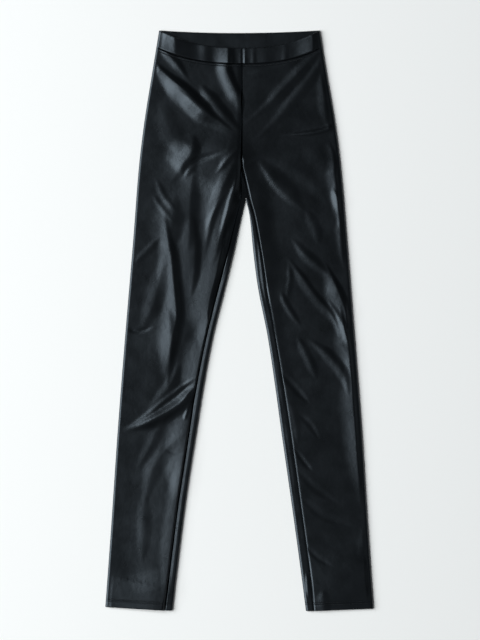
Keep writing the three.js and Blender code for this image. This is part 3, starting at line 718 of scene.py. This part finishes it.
def back_panel(side):
    leg = LEGS[side]
    sign = leg["sign"]
    hem = leg["hem"][0]
    level = leg_levels(leg, step=2.4, waist_rows=[0, 0.7, 1.5, 2.5])
    for corner in (TONGUE_TOP, FORK_Y):
        level[np.argmin(np.abs(level - corner))] = corner
    level = level[:, None]
    on_leg = level <= FORK_Y
    radius = mix(LEG_FOLD, FORK_FOLD, rising(level, TIGHTER_Y, FORK_Y))
    shoulder = mix(leg["shoulder"], radius, rising(level, *TIGHTER_SHOULDER_Y))
    shoulder = np.where(level < FORK_Y, shoulder, radius)

    # round the outer fold, down from the side seam
    roll = np.radians(np.linspace(-3, -90, 7))[:-1]
    x = side_x(leg, level) - sign * UNDER_ROLL * (1 - np.cos(roll))
    z = LEG_FOLD + LEG_FOLD * np.sin(roll)
    outer = np.stack([x, np.broadcast_to(level, x.shape), np.broadcast_to(z, x.shape)], axis=2)

    under = back_underside(leg, level, radius)

    # up round the inner fold
    y_in = row_y(leg, level, np.ones((1, 1)), BACK_DIP, BACK_DIP_POWER)
    turn = np.radians(np.linspace(-90, 90, 17))[1:-1]
    reach = np.where(turn < 0, radius, shoulder)
    x = inner_x(leg, y_in) + sign * reach * (1 - np.cos(turn))
    fold = np.stack([x, np.broadcast_to(y_in, x.shape), radius + radius * np.sin(turn)], axis=2)

    # across the strip to the inseam, and above the fork across the tongue
    y_up = np.minimum(y_in, TONGUE_TOP)
    start = np.where(on_leg, inner_x(leg, y_up) + sign * shoulder, upper_back_seam_x(y_up))
    seam = inseam_x(leg, y_up)
    x = mix(start, seam, np.linspace(0, 1, STRIP_COLUMNS)[None, :])
    from_seam = np.abs(x - seam)
    span = np.abs(start - seam)
    if sign < 0:
        strip_z = right_strip_height(y_up, from_seam, span, 2 * radius)
    else:
        strip_z = left_strip_height(from_seam, span, 2 * radius)
    strip_z = strip_z + raised(STRIP_FOLDS, x, y_up)
    z = np.where(on_leg, strip_z, mix(*TONGUE_HEIGHTS[side], from_seam / span))
    strip = np.stack([x, np.broadcast_to(y_up, x.shape), z], axis=2)

    points = np.concatenate([outer, under, fold, strip], axis=1)
    first_fold = outer.shape[1] + under.shape[1]
    # the hem's relief is on the upper face only
    upper = ease((points[:, first_fold:, 2] - 3) / 2)
    points[:, first_fold:, 2] += hem_relief(level - hem) * upper
    here = np.ones(points.shape[:2], bool)
    here[:, first_fold:first_fold + fold.shape[1]] = on_leg
    here[:, first_fold + fold.shape[1]:] = level <= TONGUE_TOP
    level = level[:, 0]
    sewn = range(points.shape[1] - STRIP_COLUMNS + 2, points.shape[1] - 1)
    sewn_rows[f"strip_stitching_{side}"] = [
        row_line(points, level, hem + row, sewn) for row in HEM_STITCH_ROWS]
    points = turn_up_hem(points, outward(points, sign < 0), level, hem)
    turned_up = np.ones((len(points) - len(level), here.shape[1]), bool)
    return sew_sheet(f"back_panel_{side}", points, np.concatenate([here, turned_up]), sign < 0)


for side in LEGS:
    panel = back_panel(side)
    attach(panel, "root")
    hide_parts(f"back_{side}")


# ---- Waistband ----
# Two strips, each folded lengthwise over a 25 mm elastic and joined at the centre front and the
# centre back. The elastic draws the front into soft upright waves.

BAND_CLOTH = 1.0
# radius of the fold at the side, how many times as far the front's shoulder reaches there, and
# radius of the roll at the top edge
BAND_FOLD, BAND_SHOULDER, BAND_ROLL = 2.95, 1.3, 1.2
# A half of the band is about 140 mm wide. Its top edge dips a little more than its seam.
BAND_HALF = 140
BAND_DIP_TOP = 30
BAND_FRONT_COLUMNS, BAND_BACK_COLUMNS = 58, 50
# The waves start this far in from the side and rise over this width, and die away at the seam.
WAVES_START, WAVES_RISE, WAVES_CALM = 4, 8, 4
# reach and depth of the furrow into the centre front seam, and of the one over the panels
CENTRE_FURROW = {"right": (3.4, 1.3), "left": (0.8, 1.3)}
FOOT_FURROW = 2.2, 0.6

BAND_WAVES = [
    # x of the crest, rise, fall, height at the top edge, height at the seam, crisp
    (-109, 34, 40, 4.4, 2.6, 0.5),
    (-58, 14, 14, 0.8, 0.5, 0.0),
    (-18, 30, 12, 2.5, 4.3, 0.6),
    (4, 6, 4, 0.1, 0.7, 0.3),
    (9, 3, 5, 0.3, 0.8, 0.3),
    (24, 6, 6, 0.3, 0.6, 0.2),
    (46, 20, 18, 0.2, 0.7, 0.0),
    (78, 8, 7, 0.2, 0.5, 0.0),
    (126, 36, 10, 2.5, 3.3, 0.3),
]


def band_height(x, down):
    """Height of the band's front, whose waves change from its top edge down to its seam."""
    total = 2 * BAND_FOLD
    for crest, rise, fall, top, foot, crisp in BAND_WAVES:
        away = x - crest
        inward = np.clip(1 - np.abs(away) / np.where(away < 0, rise, fall), 0, 1)
        total = total + mix(top, foot, down) * mix(ease(inward), inward**2, crisp)
    return total


def dipped(level, share, dip, power):
    """A row of the band, which bends down towards its centre seam."""
    return level - dip * (1 - (1 - share) ** power)


def waistband(side):
    leg = LEGS[side]
    sign = leg["sign"]
    # rows: close together over the seam, then even up to the top edge
    foot = np.array([0, 0.4, 0.9, 1.6, 2.5])
    upright = np.linspace(3.6, WAIST_TOP - BAND_ROLL - WAIST_SEAM, 12)
    level = WAIST_SEAM + np.concatenate([foot, upright])[:, None]
    edge = side_x(leg, level)
    down = (WAIST_TOP - level) / (WAIST_TOP - WAIST_SEAM)
    dip = mix(BAND_DIP_TOP, FRONT_DIP, down)

    # the front, from the centre seam out to the fold at the side
    corner = BAND_FOLD * BAND_SHOULDER / BAND_HALF
    seam_zone = 1 - np.array([4, 3, 2.2, 1.6, 1.1, 0.7, 0.35, 0]) / BAND_HALF
    open_share = np.linspace(corner, seam_zone[0], BAND_FRONT_COLUMNS)[:-1]
    share = np.concatenate([open_share, seam_zone])[::-1][None, :]
    x = mix(edge, CENTRE_FRONT, share)
    from_seam = np.abs(x - CENTRE_FRONT)
    from_side = np.abs(x - edge)
    waves = ease((from_side - WAVES_START) / WAVES_RISE) * ease(from_seam / WAVES_CALM)
    z = mix(2 * BAND_FOLD, band_height(x, down), waves)
    z = z - seam_dip(from_seam, *CENTRE_FURROW[side]) - seam_dip(level - WAIST_SEAM, *FOOT_FURROW)
    front = np.stack([x, dipped(level, share, dip, FRONT_DIP_POWER), z], axis=2)

    # round the fold at the side
    roll = np.radians(np.linspace(90, -90, 15))[1:-1]
    reach = np.where(roll > 0, BAND_FOLD * BAND_SHOULDER, BAND_FOLD)
    x = edge - sign * reach * (1 - np.cos(roll))
    share = np.abs((x - edge) / (CENTRE_FRONT - edge))
    y = np.where(roll > 0, dipped(level, share, dip, FRONT_DIP_POWER),
                 dipped(level, share, BACK_DIP, BACK_DIP_POWER))
    fold = np.stack([x, y, np.broadcast_to(BAND_FOLD + BAND_FOLD * np.sin(roll), x.shape)], axis=2)

    # the back, in to the centre seam
    share = np.linspace(BAND_FOLD / BAND_HALF, 1 - EDGE_COLUMN / BAND_HALF, BAND_BACK_COLUMNS)
    share = np.append(share, 1)[None, :]
    x = mix(edge, CENTRE_BACK, share)
    back = np.stack([x, dipped(level, share, BACK_DIP, BACK_DIP_POWER), np.zeros_like(x)], axis=2)

    # over the top edge and down inside
    outer = np.concatenate([front, fold, back], axis=1)
    out = outward(outer[::-1], sign < 0)[::-1]
    tops = []
    for angle in np.radians(np.linspace(70, -90, 8)):
        sunk = BAND_ROLL * (1 - math.sin(angle))
        tops.append(outer[-1:] - out[-1:] * sunk + np.array([0, BAND_ROLL * math.cos(angle), 0]))
    inside = (outer - out * 2 * BAND_ROLL)[::-1][1:]
    points = np.concatenate([outer, *tops, inside])[::-1]
    here = np.ones(points.shape[:2], bool)
    return sew_sheet(f"waistband_{side}_half", points, here, sign < 0, cloth=BAND_CLOTH)


for side in LEGS:
    band = waistband(side)
    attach(band, "root")
    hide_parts(f"waistband_{side}")


# ---- Stitching ----
# Lockstitch in fine black polyester thread, two rows round each hem and one below the waistband.
# A stitch shows as a short bar of thread, tight in the furrow that it has pulled.

polyester_thread = bpy.data.materials.new("black_polyester_thread")
polyester_thread.use_nodes = True
thread_tree = polyester_thread.node_tree
thread = thread_tree.nodes["Principled BSDF"]
thread.inputs["Roughness"].default_value = 0.42
thread.inputs["IOR"].default_value = 1.5
on_thread = add_node(thread_tree, "ShaderNodeTexCoord").outputs["Object"]
# The twist of the strands, 0.3 mm long, shows as a fine change of shade.
twist = add_node(thread_tree, "ShaderNodeTexNoise", {"Scale": 1 / (0.3 * MM), "Detail": 2},
                 {"Vector": on_thread})
strands = add_node(thread_tree, "ShaderNodeMix",
                   {"data_type": "RGBA", MIX_FIRST: linear("#15181b"), MIX_SECOND: linear("#2a2f34")},
                   {MIX_SHARE: twist.outputs["Fac"]})
thread_tree.links.new(strands.outputs[MIX_COLOUR], thread.inputs["Base Color"])
twist_bump = add_node(thread_tree, "ShaderNodeBump", {"Strength": 0.4, "Distance": 0.05 * MM},
                      {"Height": twist.outputs["Fac"]})
thread_tree.links.new(twist_bump.outputs["Normal"], thread.inputs["Normal"])

# The thread is drawn 0.4 mm thick, coarser than sewing thread is, so that it shows.
STITCH = 2.4
STITCH_PITCH = 3
THREAD_SIDES = 6
# rings of a bar: share of its length, how far it stands out of the furrow, radius
BAR_RINGS = (0, -0.12, 0.1), (0.2, 0.1, 0.2), (0.8, 0.1, 0.2), (1, -0.12, 0.1)


def at_distance(line, far, at):
    """The place on a line at a distance along it."""
    return np.array([np.interp(at, far, line[:, axis]) for axis in range(3)])


def sew_stitches(name, lines):
    """Bars of thread along lines on the cloth, joined as one piece."""
    turn = np.radians(np.arange(0, 360, 360 // THREAD_SIDES))
    last_ring = THREAD_SIDES * (len(BAR_RINGS) - 1)
    spots = []
    faces = []
    for line in lines:
        far = np.concatenate([[0], np.cumsum(np.linalg.norm(np.diff(line, axis=0), axis=1))])
        for start in np.arange(1, far[-1] - STITCH, STITCH_PITCH):
            ends = [at_distance(line, far, at) for at in (start, start + STITCH)]
            along_bar = (ends[1] - ends[0]) / np.linalg.norm(ends[1] - ends[0])
            sideways = np.cross(along_bar, (0, 0, 1))
            sideways /= np.linalg.norm(sideways)
            upwards = np.cross(sideways, along_bar)
            first = len(spots)
            for share, out, radius in BAR_RINGS:
                middle = mix(ends[0], ends[1], share) + upwards * out
                for angle in turn:
                    towards = math.cos(angle) * sideways + math.sin(angle) * upwards
                    spots.append(middle + radius * towards)
            for ring in range(first, first + last_ring, THREAD_SIDES):
                for k in range(THREAD_SIDES):
                    low, high = ring + k, ring + (k + 1) % THREAD_SIDES
                    faces.append((low, high, high + THREAD_SIDES, low + THREAD_SIDES))
            faces.append(tuple(range(first + THREAD_SIDES - 1, first - 1, -1)))
            faces.append(tuple(range(first + last_ring, first + last_ring + THREAD_SIDES)))
    mesh = bpy.data.meshes.new(name)
    mesh.from_pydata((np.array(spots) * MM).tolist(), [], faces)
    mesh.polygons.foreach_set("use_smooth", [True] * len(mesh.polygons))
    mesh.materials.append(polyester_thread)
    piece = bpy.data.objects.new(name, mesh)
    bpy.context.collection.objects.link(piece)
    return piece


for name, lines in sewn_rows.items():
    stitching = sew_stitches(name, lines)
    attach(stitching, "root")
